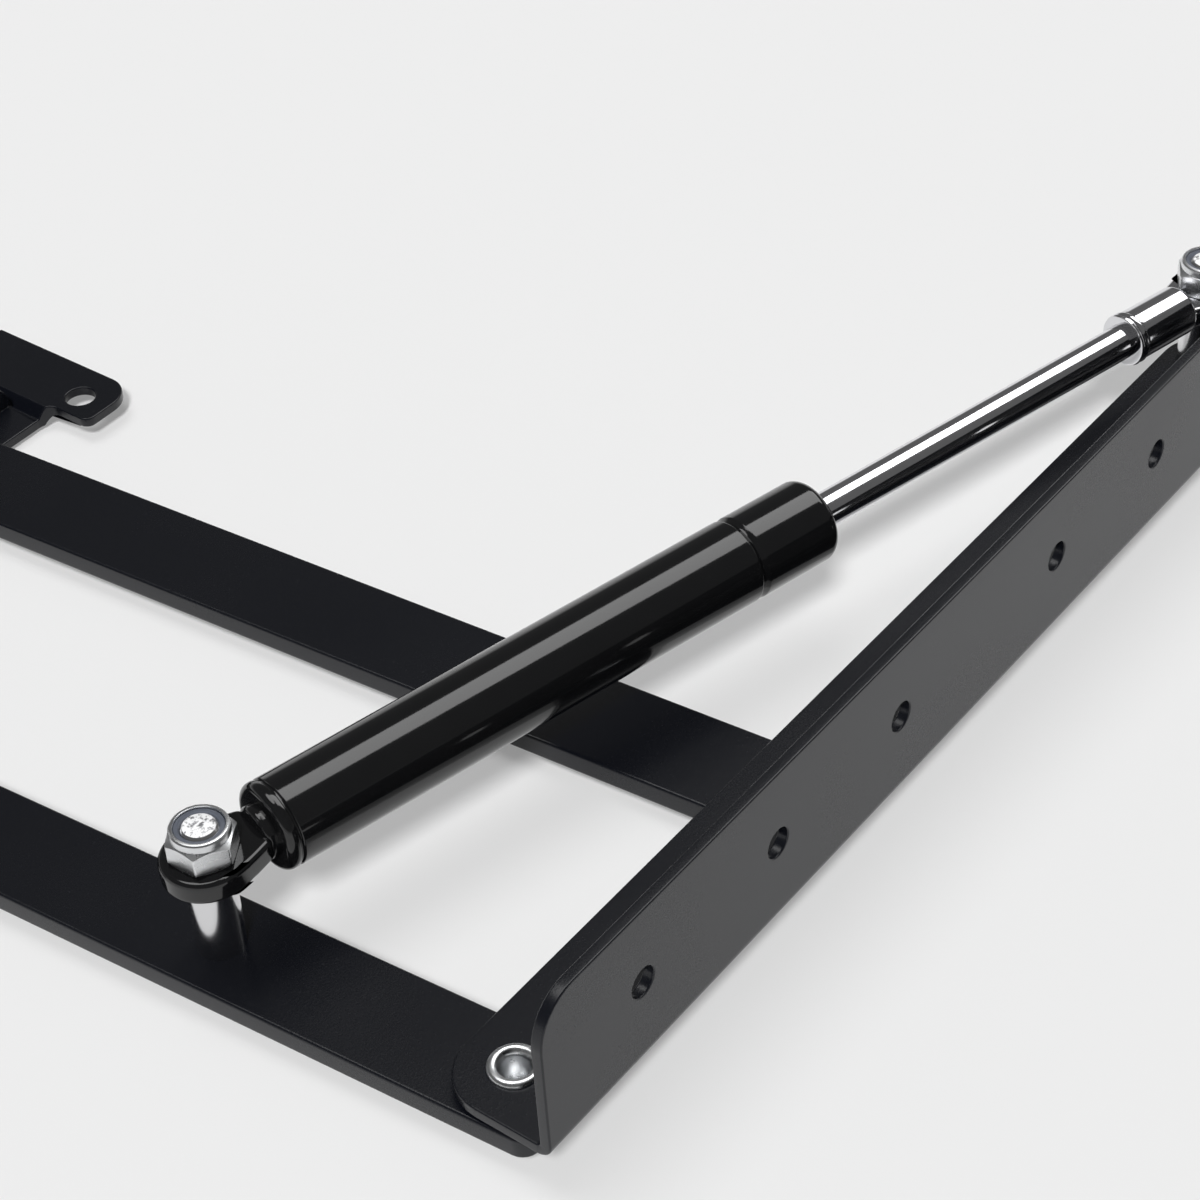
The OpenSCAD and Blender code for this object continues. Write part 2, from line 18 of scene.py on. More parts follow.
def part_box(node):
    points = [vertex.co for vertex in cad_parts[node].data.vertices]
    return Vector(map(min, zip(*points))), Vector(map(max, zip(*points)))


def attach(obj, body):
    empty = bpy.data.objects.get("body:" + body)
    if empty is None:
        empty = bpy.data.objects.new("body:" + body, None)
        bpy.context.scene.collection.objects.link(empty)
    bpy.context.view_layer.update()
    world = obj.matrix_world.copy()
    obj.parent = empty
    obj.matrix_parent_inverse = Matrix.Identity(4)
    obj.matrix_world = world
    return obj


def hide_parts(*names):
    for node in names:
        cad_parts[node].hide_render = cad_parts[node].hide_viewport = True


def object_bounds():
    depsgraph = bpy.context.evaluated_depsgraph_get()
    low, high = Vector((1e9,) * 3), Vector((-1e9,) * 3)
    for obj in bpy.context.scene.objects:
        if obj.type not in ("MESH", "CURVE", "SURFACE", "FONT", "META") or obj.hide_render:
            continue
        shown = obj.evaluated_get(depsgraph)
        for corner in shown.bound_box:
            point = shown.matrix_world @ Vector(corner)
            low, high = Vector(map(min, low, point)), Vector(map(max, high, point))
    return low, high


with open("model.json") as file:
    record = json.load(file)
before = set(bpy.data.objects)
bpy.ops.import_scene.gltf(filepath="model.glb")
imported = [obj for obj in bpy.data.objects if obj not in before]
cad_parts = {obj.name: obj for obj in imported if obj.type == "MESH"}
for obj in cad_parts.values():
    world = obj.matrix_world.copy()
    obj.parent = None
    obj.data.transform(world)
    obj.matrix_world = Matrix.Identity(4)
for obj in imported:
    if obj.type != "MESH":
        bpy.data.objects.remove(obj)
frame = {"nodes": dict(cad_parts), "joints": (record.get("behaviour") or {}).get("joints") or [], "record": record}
cad_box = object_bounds()
MM = 0.001

# %% [markdown]
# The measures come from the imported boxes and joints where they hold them, so that a piece sits
# where the solids say.
# The few that no box gives, such as a wall thickness, are written here in millimetres, as the
# maker of the parts has them.

# %% Measures of the linkage
rail_low, rail_high = (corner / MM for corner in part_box("base_rail"))
top_low, top_high = (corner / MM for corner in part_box("top_rail"))
SHEET, BEND, FLANGE_CORNER, WALL_CORNER = 2.0, 2.6, 9.0, 8.0
hinges = [joint for joint in frame["joints"] if joint["type"] == "hinge"]
joints = {joint["name"]: Vector(joint["pos_m"]) / MM for joint in hinges}
front_pivot, rear_pivot = joints["lift"], joints["rear_arm_pivot"]
front_upper, arm_stud_place = joints["top_rail_pivot"], joints["spring_pivot"]
rear_upper = rear_pivot + (front_upper - front_pivot)
LIFTED = math.atan2(front_upper.y - front_pivot.y, front_upper.x - front_pivot.x)
ARM_LENGTH = (front_upper - front_pivot).length
ARM_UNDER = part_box("front_arm")[0].z / MM
ARM_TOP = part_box("front_arm")[1].z / MM
spring_axis = next(Vector(joint["axis"]) for joint in frame["joints"] if joint["type"] == "slide")
SPRING_TURN = math.atan2(spring_axis.y, spring_axis.x)
stud_low, stud_high = (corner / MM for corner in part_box("rail_stud_tip"))
rail_stud_place = Vector(((stud_low.x + stud_high.x) / 2, (stud_low.y + stud_high.y) / 2,
                          arm_stud_place.z))
SPRING_LENGTH = (rail_stud_place - arm_stud_place).length
TIP_TOP = stud_high.z
print(f"arms {ARM_LENGTH:.1f} mm at {math.degrees(LIFTED):.1f} degrees")
print(f"spring {SPRING_LENGTH:.1f} mm, stud tips at {TIP_TOP:.2f}")

# %% [markdown]
# A material is a small tree of nodes, and its arithmetic is easier to read as Python.
# `Wire` wraps one socket: adding or multiplying wires adds the Math nodes that do it.
# `Finish` makes a material. Its `add` puts in any other node, with its settings first and its
# sockets after, and the rest of its methods are the few combinations that come back often.

# %% Wires and finishes
BLACK, WHITE = (0, 0, 0), (1, 1, 1)


class Wire:
    """A node's output that can be used in sums."""

    def __init__(self, finish, socket):
        self.finish, self.socket = finish, socket

    def math(self, operation, first, second):
        return self.finish.add("ShaderNodeMath", {"operation": operation}, {0: first, 1: second})

    def __add__(self, other):
        return self.math("ADD", self, other)

    def __rsub__(self, other):
        return self.math("SUBTRACT", other, self)

    def __mul__(self, other):
        return self.math("MULTIPLY", self, other)

    def __gt__(self, other):
        return self.math("GREATER_THAN", self, other)

    __radd__ = __add__
    __rmul__ = __mul__


class Finish:
    """A material with one Principled shader, whose nodes are added by name."""

    def __init__(self, name, metallic=0.0, **uniform):
        self.material = bpy.data.materials.new(name)
        self.material.use_nodes = True
        self.tree = self.material.node_tree
        self.shader = self.tree.nodes["Principled BSDF"]
        self.shader.inputs["Metallic"].default_value = metallic
        for socket, value in uniform.items():
            self.shader.inputs[socket.replace("_", " ")].default_value = value

    def add(self, kind, settings=None, sockets=None, output=0):
        node = self.tree.nodes.new(kind)
        for key, value in (settings or {}).items():
            if key == "stops":
                for element, (position, shade) in zip(node.color_ramp.elements, value):
                    element.position, element.color = position, (*shade, 1)
            else:
                setattr(node, key, value)
        for key, value in (sockets or {}).items():
            if isinstance(value, Wire):
                self.tree.links.new(value.socket, node.inputs[key])
            else:
                node.inputs[key].default_value = value
        return Wire(self, node.outputs[output])

    def feed(self, **wires):
        for socket, wire in wires.items():
            self.tree.links.new(wire.socket, self.shader.inputs[socket.replace("_", " ")])

    def place(self):
        return self.add("ShaderNodeTexCoord", output="Object")

    def noise(self, scale, detail=2.0, stretch=(1, 1, 1), turn=(0, 0, 0)):
        """Noise in object space, in features per metre. A small stretch draws out an axis."""
        at = self.add("ShaderNodeMapping", {}, {"Vector": self.place(), "Rotation": turn})
        at = self.add("ShaderNodeVectorMath", {"operation": "MULTIPLY"}, {0: at, 1: stretch})
        sockets = {"Vector": at, "Scale": scale, "Detail": detail, "Roughness": 0.6}
        return self.add("ShaderNodeTexNoise", {}, sockets)

    def blend(self, factor, first, second):
        """One colour at factor 0 and the other at factor 1."""
        sockets = {0: factor, 6: (*first, 1), 7: (*second, 1)}
        return self.add("ShaderNodeMix", {"data_type": "RGBA"}, sockets, output=2)

    def ramp(self, factor, *stops):
        """A colour by its factor, from stops of (position, colour)."""
        return self.add("ShaderNodeValToRGB", {"stops": stops}, {"Fac": factor})

    def relief(self, height, depth, strength=1.0):
        """A bump from a wire of heights from 0 to 1, depth in metres."""
        sockets = {"Height": height, "Distance": depth, "Strength": strength}
        return self.add("ShaderNodeBump", {}, sockets)

# %% [markdown]
# The steel sheet and the arms wear a satin black powder coat.
# Up close it is a fine orange peel with a few paler grains, and over a hand's width its gloss
# drifts a little.
# Noise at three scales gives these: the finest is the bump, the middle the grains, and the
# largest, with a little of the finest, the roughness.

# %% Powder coat
powder = Finish("powder_black", Specular_IOR_Level=0.41)
peel = powder.noise(2600, detail=3)
drift = powder.noise(28, detail=1)
specks = powder.ramp(powder.noise(1500, detail=1), (0.70, BLACK), (0.82, WHITE))
powder.feed(
    Base_Color=powder.blend(specks * 0.35, (0.0036, 0.0042, 0.0066), (0.030, 0.031, 0.036)),
    Roughness=0.20 + drift * 0.08 + peel * 0.05,
    Normal=powder.relief(peel, 0.00006, 0.35),
)
print("powder coat:", len(powder.tree.nodes), "nodes")

# %% [markdown]
# The rounded edges get a paler, speckled colour, which is a painted highlight: it stands in for
# the light that a rounded edge catches, and its speckles are painted glints.
# The bevel that rounds an edge can give its new faces a second material, so the painted
# highlight lies exactly there.

# %% Painted highlight on the powder coat's edges
edge = Finish("powder_edge_highlight", Specular_IOR_Level=0.5)
grain = edge.noise(1400, detail=3)
run = edge.noise(160, detail=2)
edge.feed(
    # Base colour: a painted highlight, paler in speckles along the edge.
    Base_Color=edge.blend(grain * run * 2.2, (0.016, 0.0165, 0.018), (0.20, 0.20, 0.21)),
    Roughness=0.30 + grain * 0.22,
    Normal=edge.relief(grain, 0.00008, 0.5),
)

# %% [markdown]
# The spring's tube and eye are sprayed with a gloss lacquer, which mirrors the lamps as crisp
# bands.
# It gets a low roughness with a faint drift, and almost no bump.

# %% Gloss lacquer
lacquer = Finish("gloss_black", Specular_IOR_Level=0.55)
flow = lacquer.noise(90, detail=2)
lacquer.feed(
    Base_Color=lacquer.blend(flow, (0.0035, 0.0036, 0.004), (0.0055, 0.0056, 0.006)),
    Roughness=0.07 + flow * 0.05,
    Normal=lacquer.relief(lacquer.noise(700, detail=2), 0.00001, 0.25),
)

# %% [markdown]
# Bare metal differs in how it was worked: the chrome rod is ground and polished, the zinc on
# nuts and rivets is milky.
# Each is metallic, with its own colour, and its fine lines run round the axis that it was turned
# on.
# One function makes them all, from the colour, the roughness and the way the lines run.

# %% Bright metals
def bright(name, pale, dark, rough, spread, lines, stretch, turn=(0, 0, 0)):
    """A metal whose colour and roughness drift, with lines drawn out by stretch."""
    metal = Finish(name, metallic=1.0)
    cloud = metal.noise(260, detail=3)
    line = metal.noise(lines, detail=2, stretch=stretch, turn=turn)
    metal.feed(
        Base_Color=metal.blend(cloud, dark, pale),
        Roughness=rough + spread * cloud + spread * line,
        Normal=metal.relief(line, 0.00001, 0.25),
    )
    return metal


ALONG = (0, 0, -SPRING_TURN)
ROUND_ROD = (1.0, 0.06, 0.06)
chrome = bright("chrome", (0.80, 0.80, 0.82), (0.70, 0.70, 0.72), 0.05, 0.05, 900, ROUND_ROD, ALONG)
zinc = bright("zinc", (0.82, 0.83, 0.84), (0.62, 0.63, 0.64), 0.16, 0.12, 700, (0.3, 0.3, 1.0))
brass = bright("brass", (0.78, 0.60, 0.30), (0.62, 0.46, 0.20), 0.18, 0.08, 900, ROUND_ROD, ALONG)

# %% [markdown]
# The studs were cropped from bar, so their free ends are rough, with dark pits.
# There the colour is near white and not metallic: a painted highlight, which stands in for the
# light that the rough ends catch.
# The ends lie above a level that both studs share, so the height in object space picks them out.

# %% The studs' chrome and the painted highlight on their cropped ends
stud_chrome = Finish("stud_chrome", metallic=1.0)
height = stud_chrome.add("ShaderNodeSeparateXYZ", {}, {0: stud_chrome.place()}, output=2)
cropped_end_painted_highlight = height > (TIP_TOP - 0.25) * MM
grit = stud_chrome.noise(1300, detail=3)
pits_and_painted_highlight = stud_chrome.ramp(grit, (0.36, (0.16, 0.16, 0.17)), (0.50, (0.95, 0.95, 0.96)))
stud_chrome.feed(
    # Near white on the cropped ends is a painted highlight, with dark pits in it.
    Base_Color=stud_chrome.add("ShaderNodeMix", {"data_type": "RGBA"},
                               {0: cropped_end_painted_highlight, 6: (0.70, 0.70, 0.71, 1), 7: pits_and_painted_highlight}, output=2),
    Metallic=1.0 - cropped_end_painted_highlight,
    Roughness=0.16 + cropped_end_painted_highlight * 0.44,
    Normal=stud_chrome.relief(grit * cropped_end_painted_highlight, 0.0001, 0.8),
)

# %% Nylon, rubber and the washers' black
nylon = Finish("nylon", Specular_IOR_Level=0.5)
milk = nylon.noise(500, detail=2)
nylon.feed(
    Base_Color=nylon.blend(milk, (0.07, 0.08, 0.10), (0.12, 0.13, 0.16)),
    Roughness=0.32 + milk * 0.12,
    Normal=nylon.relief(milk, 0.00002, 0.3),
)
rubber = Finish("rubber", Specular_IOR_Level=0.4)
skin = rubber.noise(1200, detail=2)
rubber.feed(
    Base_Color=rubber.blend(skin, (0.010, 0.010, 0.010), (0.022, 0.022, 0.022)),
    Roughness=0.45 + skin * 0.15,
    Normal=rubber.relief(skin, 0.00003, 0.4),
)
washer_coat = Finish("washer_black", Specular_IOR_Level=0.5)
rub = washer_coat.noise(420, detail=3)
worn = washer_coat.ramp(rub, (0.62, BLACK), (0.78, WHITE))
washer_coat.feed(
    Base_Color=washer_coat.blend(worn * 0.5, (0.010, 0.010, 0.012), (0.10, 0.10, 0.11)),
    Roughness=0.30 + rub * 0.15,
    Normal=washer_coat.relief(rub, 0.00003, 0.4),
)
finishes = {
    "powder_black": powder, "gloss_black": lacquer, "chrome": chrome, "zinc": zinc,
    "nylon": nylon, "rubber": rubber, "brass": brass, "washer_black": washer_coat,
}
print("finishes:", sorted(finishes))

# %% [markdown]
# Every carried-over solid first gets the finish of its material slot in the record.
# The solids that stay in sight later are the small inner and lower ones, whose shape is right as
# it is.

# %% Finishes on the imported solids
for part in frame["record"]["subparts"]:
    solid = frame["nodes"][part["node"]]
    solid.data.materials.clear()
    solid.data.materials.append(finishes[part["material_slot"]].material)

# %% [markdown]
# Modelling by operators works on what is selected, so two small helpers do the selecting.
# `take` leaves one object selected and active, and `choose` selects the parts of its mesh that
# pass a test of their middle.

# %% Selecting
def take(piece):
    """Selects one object alone."""
    bpy.ops.object.select_all(action="DESELECT")
    piece.select_set(True)
    bpy.context.view_layer.objects.active = piece
    return piece


def choose(kind, test):
    """Selects the VERT, EDGE or FACE parts whose middle, in millimetres, passes the test."""
    bpy.ops.mesh.select_mode(type=kind)
    bpy.ops.mesh.select_all(action="DESELECT")
    shape = bmesh.from_edit_mesh(bpy.context.object.data)
    parts = {"VERT": shape.verts, "EDGE": shape.edges, "FACE": shape.faces}[kind]
    found = 0
    for part in parts:
        corners = [part.co] if kind == "VERT" else [corner.co for corner in part.verts]
        if test(sum(corners, Vector()) / len(corners) / MM):
            part.select_set(True)
            found += 1
    bmesh.update_edit_mesh(bpy.context.object.data)
    return found


def near(value, other):
    return abs(value - other) < 0.02


def pull(x=0.0, y=0.0, z=0.0):
    """Extrudes what is selected by a distance in millimetres."""
    bpy.ops.mesh.extrude_region_move(TRANSFORM_OT_translate={"value": (x * MM, y * MM, z * MM)})

# %% [markdown]
# A flat blank is a plane sized in edit mode, and its corners are rounded by a vertex bevel.
# A turned part is one vertex drawn along its profile and spun about Z, as on a lathe.

# %% Blanks and turned parts
def blank(name, low, high, level):
    """A flat rectangle from one corner to the other, left in edit mode."""
    bpy.ops.object.select_all(action="DESELECT")
    bpy.ops.mesh.primitive_plane_add(size=1.0, location=(0, 0, 0))
    piece = take(bpy.context.object)
    piece.name = name
    bpy.ops.object.mode_set(mode="EDIT")
    bpy.ops.mesh.select_all(action="SELECT")
    bpy.ops.transform.resize(value=((high[0] - low[0]) * MM, (high[1] - low[1]) * MM, 1))
    middle = ((low[0] + high[0]) / 2 * MM, (low[1] + high[1]) / 2 * MM, level * MM)
    bpy.ops.transform.translate(value=middle)
    return piece


def round_corner(x, y, z, radius, steps=8):
    """Rounds the corner vertex at a place in the XY plane or in an upright wall."""
    choose("VERT", lambda at: near(at.x, x) and near(at.y, y) and near(at.z, z))
    bpy.ops.mesh.bevel(offset=radius * MM, segments=steps, affect="VERTICES", clamp_overlap=False)


def turned(name, profile, steps=64):
    """Spins a profile of (radius, height) points, in millimetres, about Z.

    A profile that starts off the axis is closed from its last point to its first.
    """
    points = [Vector((radius, 0, height)) for radius, height in profile]
    if profile[0][0] > 0:
        points.append(points[0])
    bpy.ops.object.select_all(action="DESELECT")
    bpy.ops.mesh.primitive_plane_add(size=MM, location=(0, 0, 0))
    piece = take(bpy.context.object)
    piece.name = name
    bpy.ops.object.mode_set(mode="EDIT")
    bpy.ops.mesh.select_all(action="SELECT")
    bpy.ops.mesh.merge(type="CENTER")
    bpy.ops.mesh.select_all(action="SELECT")
    bpy.ops.transform.translate(value=points[0] * MM)
    for before, after in zip(points, points[1:]):
        bpy.ops.mesh.extrude_vertices_move(TRANSFORM_OT_translate={"value": (after - before) * MM})
    bpy.ops.mesh.select_all(action="SELECT")
    bpy.ops.mesh.spin(steps=steps, angle=math.tau, center=(0, 0, 0), axis=(0, 0, 1))
    bpy.ops.mesh.select_all(action="SELECT")
    bpy.ops.mesh.remove_doubles(threshold=1e-6)
    bpy.ops.mesh.normals_make_consistent(inside=False)
    bpy.ops.object.mode_set(mode="OBJECT")
    return piece

# %% Placing, cutting and joining
def settle(piece, at, turn=(0, 0, 0)):
    """Turns and moves a piece, and applies both, so that its place is in its mesh."""
    take(piece)
    piece.rotation_euler, piece.location = turn, Vector(at) * MM
    bpy.ops.object.transform_apply(location=True, rotation=True, scale=True)
    return piece


def combine(piece, tool, operation):
    """Cuts, joins or intersects a piece with a tool, which is then removed."""
    take(piece)
    cut = piece.modifiers.new("combine", "BOOLEAN")
    cut.operation, cut.object, cut.solver = operation, tool, "EXACT"
    bpy.ops.object.modifier_apply(modifier=cut.name)
    bpy.data.objects.remove(tool)
    return piece


def drill(piece, at, radius, depth=20.0, turn=(0, 0, 0)):
    """Drills a round hole through a place, along Z unless turned."""
    bpy.ops.object.select_all(action="DESELECT")
    bpy.ops.mesh.primitive_cylinder_add(vertices=48, radius=radius * MM, depth=depth * MM,
                                        location=Vector(at) * MM, rotation=turn)
    return combine(piece, bpy.context.object, "DIFFERENCE")

# %% [markdown]
# The last steps are the same for every piece: round its edges, smooth its shading, give it its
# finish and seat it on its body.
# A weighted normal keeps the flat faces flat beside their rounded edges.

# %% Rounding and seating
def soften(piece, width, steps=3, angle=32.0, highlight_slot=-1):
    """Rounds every edge sharper than the angle, by a width in millimetres."""
    take(piece)
    bevel = piece.modifiers.new("edges", "BEVEL")
    bevel.width, bevel.segments, bevel.limit_method = width * MM, steps, "ANGLE"
    bevel.angle_limit, bevel.use_clamp_overlap = math.radians(angle), False
    bevel.miter_outer = "MITER_ARC"
    # The bevel's new faces take this slot, which holds the painted edge highlight where one is given.
    bevel.material = highlight_slot
    bpy.ops.object.modifier_apply(modifier=bevel.name)
    return piece


def finished(piece, body, node, finish, rim=None, smooth=40.0):
    """Smooths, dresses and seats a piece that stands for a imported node."""
    take(piece)
    bpy.ops.object.shade_smooth_by_angle(angle=math.radians(smooth))
    weighted = piece.modifiers.new("flat faces", "WEIGHTED_NORMAL")
    weighted.keep_sharp = True
    bpy.ops.object.modifier_apply(modifier=weighted.name)
    faces = [polygon.material_index for polygon in piece.data.polygons]
    piece.data.materials.clear()
    # rim is the powder with the painted edge highlight, for the bevel faces, where a piece has one.
    for coat in filter(None, (finish, rim)):
        piece.data.materials.append(coat.material)
    piece.data.polygons.foreach_set("material_index", faces)
    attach(piece, body)
    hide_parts(node)
    print(f"{piece.name}: {len(piece.data.polygons)} faces on {body}")

# %% [markdown]
# ## The base rail
# The real rail is one sheet of steel: its blank is cut with round corners, its screw wall is
# bent up in a press, and its holes are punched.
# The model is made the same way. A rectangle's edge is spun through a quarter turn for the bend
# and pulled up for the wall.
# Solidify then gives the sheet its thickness towards the inside, so the outer faces stay where
# the CAD has them.

# %% A sheet's bend, wall and thickness
def bend_up(face_y, side, level, height):
    """Bends the edge beside the screw face up. side is the way from the face to the flange."""
    inner = face_y + side * BEND
    choose("EDGE", lambda at: near(at.y, inner) and near(at.z, level))
    bpy.ops.mesh.spin(steps=8, angle=side * math.pi / 2, axis=(1, 0, 0),
                      center=(0, inner * MM, (level + BEND) * MM))
    bpy.ops.mesh.select_all(action="SELECT")
    bpy.ops.mesh.remove_doubles(threshold=1e-6)
    choose("EDGE", lambda at: near(at.y, face_y) and near(at.z, level + BEND))
    pull(z=height - BEND)


def thicken(piece):
    """Gives the sheet its thickness, upwards from the flange's underside."""
    bpy.ops.mesh.select_all(action="SELECT")
    bpy.ops.mesh.remove_doubles(threshold=1e-6)
    bpy.ops.mesh.normals_make_consistent(inside=False)
    bpy.ops.object.mode_set(mode="OBJECT")
    under = max(piece.data.polygons, key=lambda face: face.area * abs(face.normal.z))
    sheet = piece.modifiers.new("sheet", "SOLIDIFY")
    sheet.thickness, sheet.use_even_offset = SHEET * MM, True
    sheet.offset = -1 if under.normal.z < 0 else 1
    take(piece)
    bpy.ops.object.modifier_apply(modifier=sheet.name)
    bpy.ops.object.mode_set(mode="EDIT")
    bpy.ops.mesh.select_all(action="SELECT")
    bpy.ops.mesh.normals_make_consistent(inside=False)
    bpy.ops.object.mode_set(mode="OBJECT")

# %% The base rail's sheet
base_rail = blank("base_rail_sheet", (rail_low.x, BEND), (rail_high.x, rail_high.y), rail_low.z)
bend_up(0.0, 1, rail_low.z, rail_high.z - rail_low.z)
for end in (rail_low.x, rail_high.x):
    round_corner(end, rail_high.y, rail_low.z, FLANGE_CORNER)
    round_corner(end, 0.0, rail_high.z, WALL_CORNER)
thicken(base_rail)
print("sheet:", [round(size / MM, 2) for size in base_rail.dimensions])

# %% The base rail's holes
SCREWS = (-92.0, -58.0, -24.0, 24.0, 58.0, 92.0)
SCREW_HOLE, RIVET_HOLE, TAIL_HOLE, ARM_HOLE = 2.6, 3.02, 2.77, 3.08
ACROSS = (math.pi / 2, 0, 0)
for screw in SCREWS:
    drill(base_rail, (screw, 0, 0), SCREW_HOLE, turn=ACROSS)
for pivot in (front_pivot, rear_pivot):
    drill(base_rail, (pivot.x, pivot.y, rail_low.z), RIVET_HOLE)
drill(base_rail, (rail_stud_place.x, rail_stud_place.y, rail_low.z), TAIL_HOLE)
soften(base_rail, 0.32, highlight_slot=1)
finished(base_rail, "base", "base_rail", powder, edge)

# %% [markdown]
# ## The arms
# Each arm is a flat bar with its long edges rounded by rolling, cropped nearly square at the
# base and round at the top.
# One function makes each arm's blank and pulls it up to its thickness, because both arms share
# every size but the spring stud's hole.

# %% One arm
HALF, BUTT = 9.65, -8.5


def bar_arm(name, pivot, holes):
    """A flat bar from its base pivot, turned to the lifted angle."""
    bar = blank(name, (BUTT, -HALF), (ARM_LENGTH + HALF, HALF), 0.0)
    for side in (-HALF, HALF):
        round_corner(BUTT, side, 0.0, 3.0, 6)
        round_corner(ARM_LENGTH + HALF, side, 0.0, HALF * 0.998, 20)
    bpy.ops.mesh.select_all(action="SELECT")
    bpy.ops.mesh.remove_doubles(threshold=1e-6)
    pull(z=ARM_TOP - ARM_UNDER)
    bpy.ops.mesh.select_all(action="SELECT")
    bpy.ops.mesh.normals_make_consistent(inside=False)
    bpy.ops.object.mode_set(mode="OBJECT")
    for place, radius in holes:
        drill(bar, (place, 0, 0), radius)
    soften(bar, 0.55, highlight_slot=1)
    return settle(bar, (pivot.x, pivot.y, ARM_UNDER), (0, 0, LIFTED))


STUD_REACH = (arm_stud_place.xy - front_pivot.xy).length
PIVOT_HOLES = [(0, ARM_HOLE), (ARM_LENGTH, ARM_HOLE)]
front_arm = bar_arm("front_arm_bar", front_pivot, [*PIVOT_HOLES, (STUD_REACH, TAIL_HOLE)])
finished(front_arm, "front_arm", "front_arm", powder, edge)
rear_arm = bar_arm("rear_arm_bar", rear_pivot, PIVOT_HOLES)
finished(rear_arm, "rear_arm", "rear_arm", powder, edge)

# %% [markdown]
# ## The top rail
# The top rail is the same kind of sheet, turned over to face the other way, with three more
# things done to it in the press.
# Its end is stepped up into an ear with a hole, and a tab is cut from the flange and bent up
# beside the rear arm as its stop.
# A bisect draws each cut on the blank, the window's face is deleted, and the tab is pulled up
# from the window's edge.

# %% The top rail's flange and wall
EAR_WIDTH, EAR_REACH, EAR_STEP, STEP_RUN = 13.2, 11.1, 2.4, 1.7
EAR_FILLET, EAR_CORNER, EAR_HOLE = 3.0, 6.0, 3.0
ear_left = top_high.x - EAR_WIDTH
strip_left = ear_left - EAR_FILLET - 0.5
step_left = ear_left - STEP_RUN
flange_edge = top_low.y + EAR_REACH
shoulder = top_high.y - BEND - 0.5
top_rail = blank("top_rail_sheet", (top_low.x, flange_edge), (step_left, top_high.y - BEND),
                 top_low.z)
bend_up(top_high.y, -1, top_low.z, top_high.z - top_low.z)
round_corner(top_low.x, flange_edge, top_low.z, FLANGE_CORNER)
for end in (top_low.x, step_left):
    round_corner(end, top_high.y, top_high.z, WALL_CORNER)

# %% The top rail's cuts
TAB_WIDTH, TAB_HEIGHT, TAB_CORNER, TAB_GAP, TAB_DROP = 13.0, 8.0, 6.0, 0.3, 1.3
TAB_FOOT = rear_upper.y - TAB_DROP + SHEET
tab_left = rear_upper.x + (HALF + TAB_GAP) / math.sin(LIFTED) + TAB_DROP / -math.tan(LIFTED)
tab_right = tab_left + TAB_WIDTH


def draw_line(at, across):
    """Cuts the flange's faces along a line through a place, without parting them."""
    choose("FACE", lambda middle: near(middle.z, top_low.z))
    bpy.ops.mesh.bisect(plane_co=Vector(at) * MM, plane_no=across)


draw_line((0, shoulder, 0), (0, 1, 0))
draw_line((strip_left, 0, 0), (1, 0, 0))
draw_line((tab_left, 0, 0), (1, 0, 0))
draw_line((tab_right, 0, 0), (1, 0, 0))
draw_line((0, TAB_FOOT, 0), (0, 1, 0))
draw_line((0, TAB_FOOT + TAB_HEIGHT, 0), (0, 1, 0))
window = choose("FACE", lambda at: near(at.z, top_low.z) and tab_left < at.x < tab_right
                and TAB_FOOT < at.y < TAB_FOOT + TAB_HEIGHT)
bpy.ops.mesh.delete(type="FACE")
print("window faces removed:", window)

# %% The top rail's tab and ear
choose("EDGE", lambda at: near(at.y, TAB_FOOT) and near(at.z, top_low.z)
       and tab_left < at.x < tab_right)
pull(z=SHEET + TAB_HEIGHT)
round_corner(tab_right, TAB_FOOT, top_low.z + SHEET + TAB_HEIGHT, TAB_CORNER, 6)
choose("EDGE", lambda at: near(at.x, step_left) and near(at.z, top_low.z) and at.y < shoulder - 0.1)
pull(x=STEP_RUN, z=EAR_STEP)
pull(x=EAR_WIDTH)
choose("EDGE", lambda at: near(at.y, flange_edge) and at.x > strip_left)
pull(y=-EAR_REACH)
round_corner(top_high.x, top_low.y, top_low.z + EAR_STEP, EAR_CORNER, 10)
thicken(top_rail)
print("top rail:", [round(size / MM, 2) for size in top_rail.dimensions])

# %% [markdown]
# The fold runs on to the ear's tip, so the ear's outline is cut after it, as a punch would cut it.
# The punch is a block with one round corner, which leaves the hollow corner beside the ear. A
# second one rounds the tip.
# The cuts leave slivers, which go when near vertices are merged and flat edges dissolved.

# %% The ear's outline
def raise_block(piece, height):
    """Pulls a flat outline up into a closed block."""
    bpy.ops.mesh.select_all(action="SELECT")
    pull(z=height)
    bpy.ops.mesh.select_all(action="SELECT")
    bpy.ops.mesh.normals_make_consistent(inside=False)
    bpy.ops.object.mode_set(mode="OBJECT")
    return piece


TOOL_FOOT, TOOL_HEIGHT, TIP_ROUND = top_low.z - 3, 12, 2.0
punch = blank("punch", (ear_left - EAR_FILLET - 1, top_low.y - 2), (ear_left, flange_edge),
              TOOL_FOOT)
round_corner(ear_left, flange_edge, TOOL_FOOT, EAR_FILLET, 8)
combine(top_rail, raise_block(punch, TOOL_HEIGHT), "DIFFERENCE")
nibble = blank("nibble", (ear_left - 2, top_low.y - 2), (ear_left + 2, top_low.y + 2), TOOL_FOOT)
raise_block(nibble, TOOL_HEIGHT)
drill(nibble, (ear_left + TIP_ROUND, top_low.y + TIP_ROUND, top_low.z), TIP_ROUND, depth=30)
combine(top_rail, nibble, "DIFFERENCE")
bpy.ops.object.mode_set(mode="EDIT")
bpy.ops.mesh.select_all(action="SELECT")
bpy.ops.mesh.remove_doubles(threshold=0.01 * MM)
bpy.ops.mesh.dissolve_limited(angle_limit=math.radians(0.5))
bpy.ops.object.mode_set(mode="OBJECT")
print("ear cut:", len(top_rail.data.polygons), "faces")

